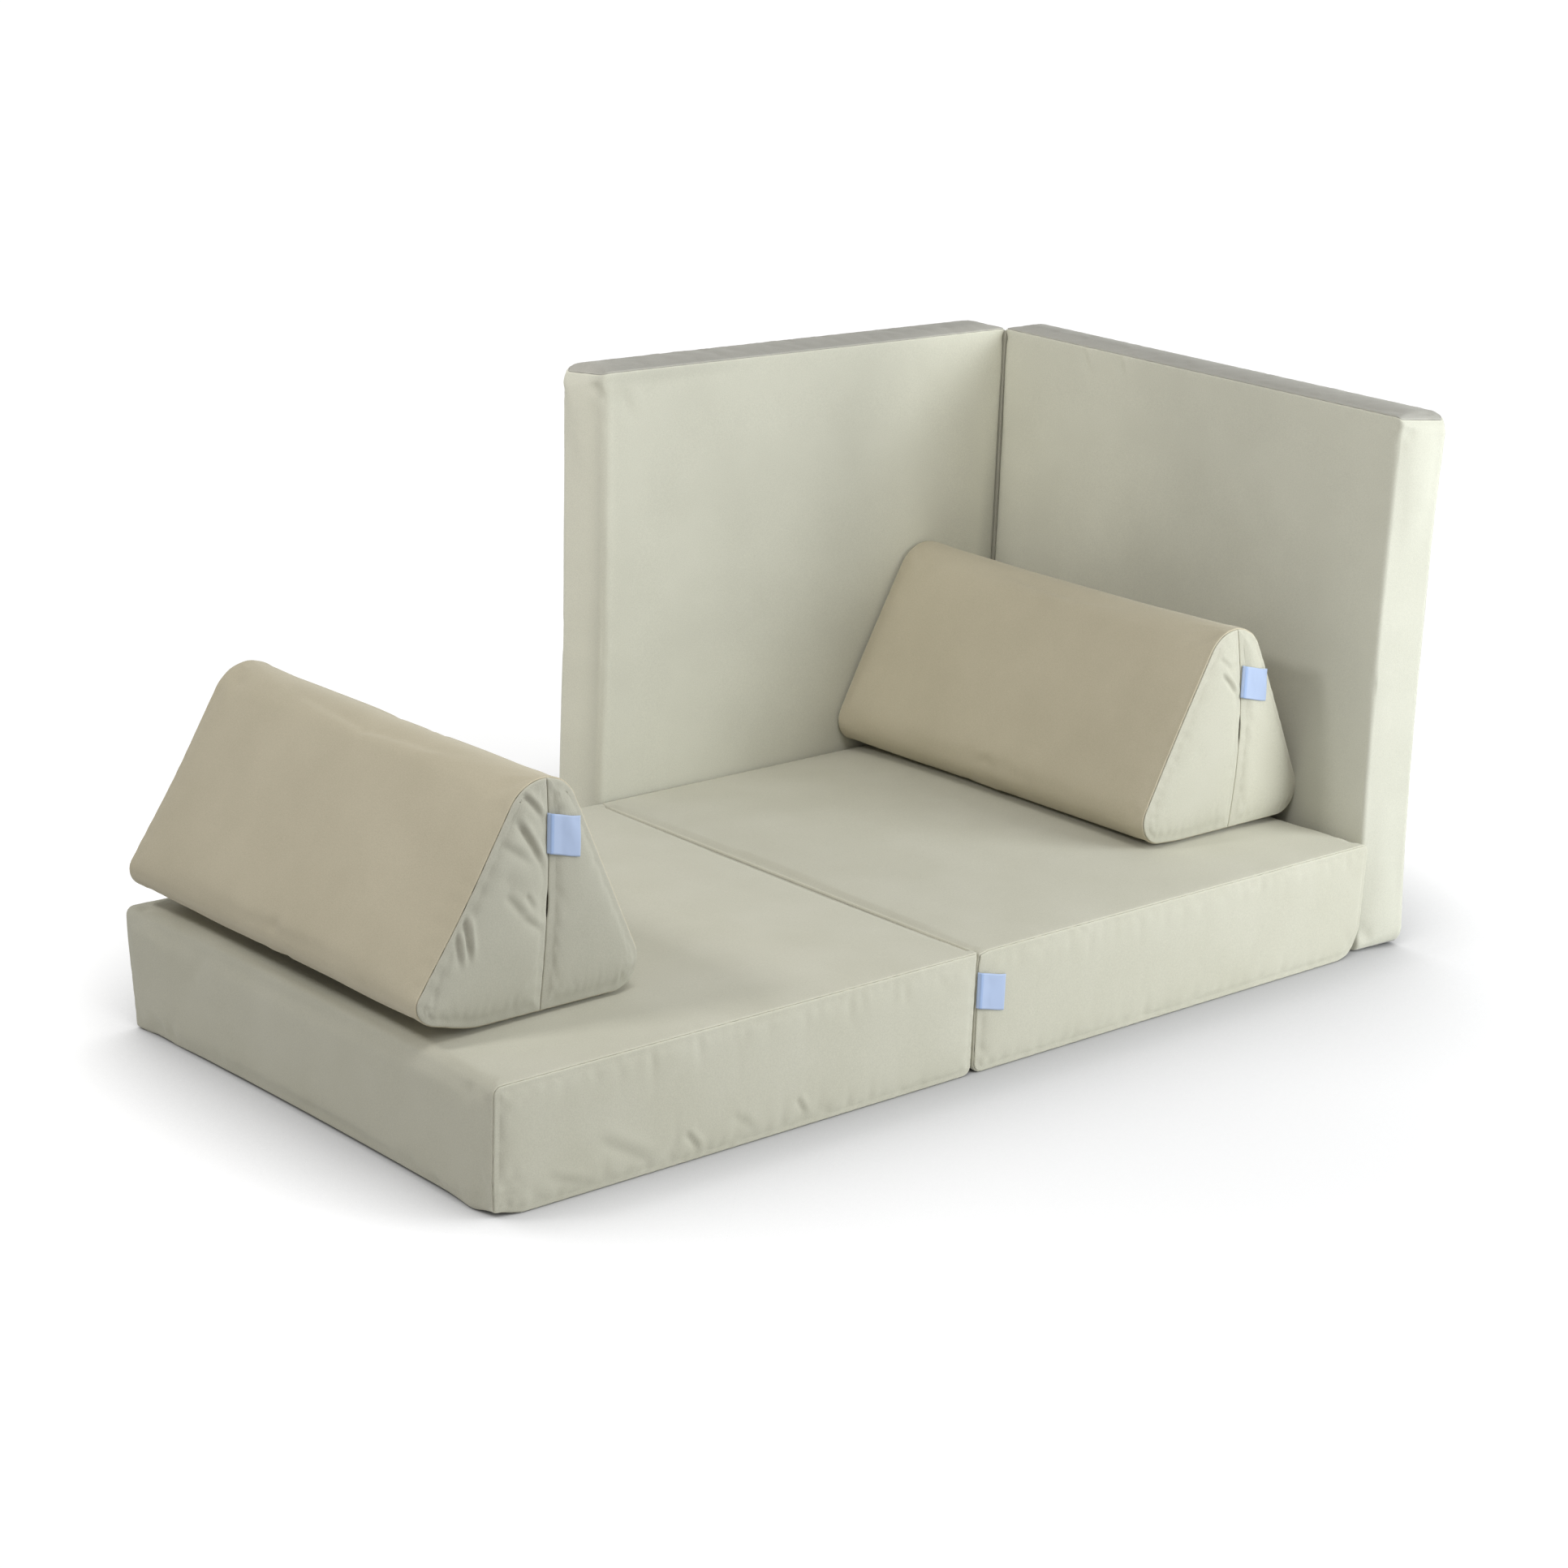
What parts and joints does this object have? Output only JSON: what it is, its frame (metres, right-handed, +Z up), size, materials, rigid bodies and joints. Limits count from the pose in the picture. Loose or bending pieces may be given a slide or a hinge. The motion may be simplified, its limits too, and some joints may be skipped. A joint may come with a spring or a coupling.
{
  "type": "modular foam play sofa",
  "caption": "Low play sofa of loose foam modules in zipped velvet covers: a folding seat mat, a folding back mat stood as a corner, and prism pillows.",
  "frame": {"origin": "middle of the footprint, on the floor", "axes": "+X along the seat towards the side panel, +Y from the seat's front to the back panel, +Z up"},
  "size_m": [1.2662, 0.6742, 0.605],
  "materials": {
    "velvet": "beige short-pile velvet",
    "foam": "open-cell polyurethane foam",
    "zip_nylon": "woven nylon tape and coil",
    "slider_metal": "lacquered zinc",
    "label_satin": "pale blue satin ribbon"
  },
  "bodies": {
    "seat_left": {"seat_left_foam": "foam", "seat_left_cover": "velvet", "seat_left_front_panel": "velvet", "seat_left_rear_panel": "velvet", "seat_left_zip": "zip_nylon"},
    "seat_right": {"seat_right_foam": "foam", "seat_right_cover": "velvet", "seat_right_front_panel": "velvet", "seat_right_rear_panel": "velvet", "seat_right_zip": "zip_nylon", "seat_fold_tape": "velvet", "seat_label": "label_satin"},
    "back_rear": {"back_rear_foam": "foam", "back_rear_cover": "velvet", "back_rear_top_panel": "velvet", "back_rear_bottom_panel": "velvet", "back_rear_zip": "zip_nylon", "back_fold_tape": "velvet"},
    "back_side": {"back_side_foam": "foam", "back_side_cover": "velvet", "back_side_top_panel": "velvet", "back_side_bottom_panel": "velvet", "back_side_zip": "zip_nylon"},
    "left_pillow": {"left_pillow_foam": "foam", "left_pillow_cover": "velvet", "left_pillow_far_panel": "velvet", "left_pillow_near_panel_left": "velvet", "left_pillow_near_panel_right": "velvet", "left_pillow_zip": "zip_nylon", "left_pillow_label": "label_satin"},
    "right_pillow": {"right_pillow_foam": "foam", "right_pillow_cover": "velvet", "right_pillow_far_panel": "velvet", "right_pillow_near_panel_left": "velvet", "right_pillow_near_panel_right": "velvet", "right_pillow_zip": "zip_nylon", "right_pillow_label": "label_satin"},
    "seat_left_zip_slider": {"seat_left_zip_slider": "slider_metal"},
    "seat_right_zip_slider": {"seat_right_zip_slider": "slider_metal"},
    "back_rear_zip_slider": {"back_rear_zip_slider": "slider_metal"},
    "back_side_zip_slider": {"back_side_zip_slider": "slider_metal"},
    "left_pillow_zip_slider": {"left_pillow_zip_slider": "slider_metal"},
    "right_pillow_zip_slider": {"right_pillow_zip_slider": "slider_metal"}
  },
  "joints": [
    {"name": "seat_fold", "type": "hinge", "parent": "seat_right", "child": "seat_left", "pos_m": [-0.03316, 0, 0.13], "axis": [0, 1, 0], "range_deg": [0, 120]},
    {"name": "back_slide", "type": "slide", "parent": "seat_right", "child": "back_rear", "axis": [0, 1, 0], "range_m": [0, 0.65]},
    {"name": "back_fold", "type": "hinge", "parent": "back_rear", "child": "back_side", "pos_m": [0.56964, 0.2736, 0], "axis": [0, 0, 1], "range_deg": [0, 90]},
    {"name": "left_pillow_lift", "type": "slide", "parent": "seat_left", "child": "left_pillow", "axis": [0, 0, 1], "range_m": [0, 0.3]},
    {"name": "right_pillow_lift", "type": "slide", "parent": "seat_right", "child": "right_pillow", "axis": [0, 0, 1], "range_m": [0, 0.5]},
    {"name": "seat_left_zip_slide", "type": "slide", "parent": "seat_left", "child": "seat_left_zip_slider", "axis": [0, -1, 0], "range_m": [0, 0.41]},
    {"name": "seat_right_zip_slide", "type": "slide", "parent": "seat_right", "child": "seat_right_zip_slider", "axis": [0, -1, 0], "range_m": [0, 0.41]},
    {"name": "back_rear_zip_slide", "type": "slide", "parent": "back_rear", "child": "back_rear_zip_slider", "axis": [0, 0, 1], "range_m": [0, 0.41]},
    {"name": "back_side_zip_slide", "type": "slide", "parent": "back_side", "child": "back_side_zip_slider", "axis": [0, 0, 1], "range_m": [0, 0.41]},
    {"name": "left_pillow_zip_slide", "type": "slide", "parent": "left_pillow", "child": "left_pillow_zip_slider", "axis": [0, 0, 1], "range_m": [0, 0.125]},
    {"name": "right_pillow_zip_slide", "type": "slide", "parent": "right_pillow", "child": "right_pillow_zip_slider", "axis": [0, 0, 1], "range_m": [0, 0.125]}
  ]
}
